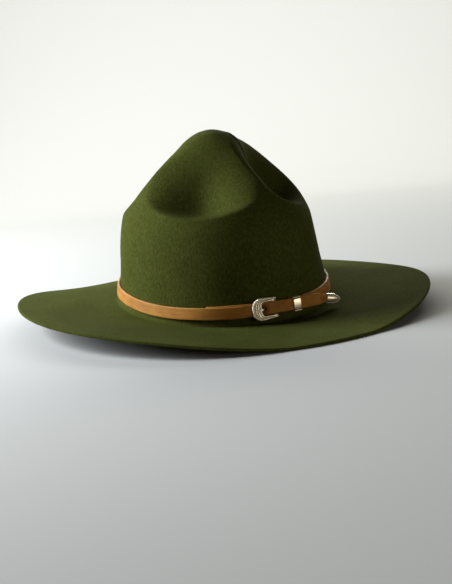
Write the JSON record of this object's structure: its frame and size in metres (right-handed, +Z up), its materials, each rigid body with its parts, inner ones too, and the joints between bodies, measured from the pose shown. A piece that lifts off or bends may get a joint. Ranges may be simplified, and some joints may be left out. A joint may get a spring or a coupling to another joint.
{
  "type": "campaign hat",
  "caption": "Felt campaign hat with a tall pinched crown, a wide gently swept brim and a buckled leather band with metal keeper and tip.",
  "frame": {"origin": "on the surface that the hat rests on, under the middle of its outline", "axes": "+Z up, -Y towards the front of the hat, +X towards the wearer's left"},
  "size_m": [0.3504, 0.3819, 0.1564],
  "materials": {
    "felt": "matt olive green wool felt with a short nap",
    "leather": "tan leather, slightly worn, satin",
    "silver_metal": "worn silver plate, darkened in the recesses"
  },
  "bodies": {
    "root": {"felt_body": "felt", "hatband_strap": "leather", "buckle_frame": "silver_metal", "buckle_prong": "silver_metal", "keeper_loop": "silver_metal", "strap_tip": "silver_metal"}
  },
  "joints": []
}
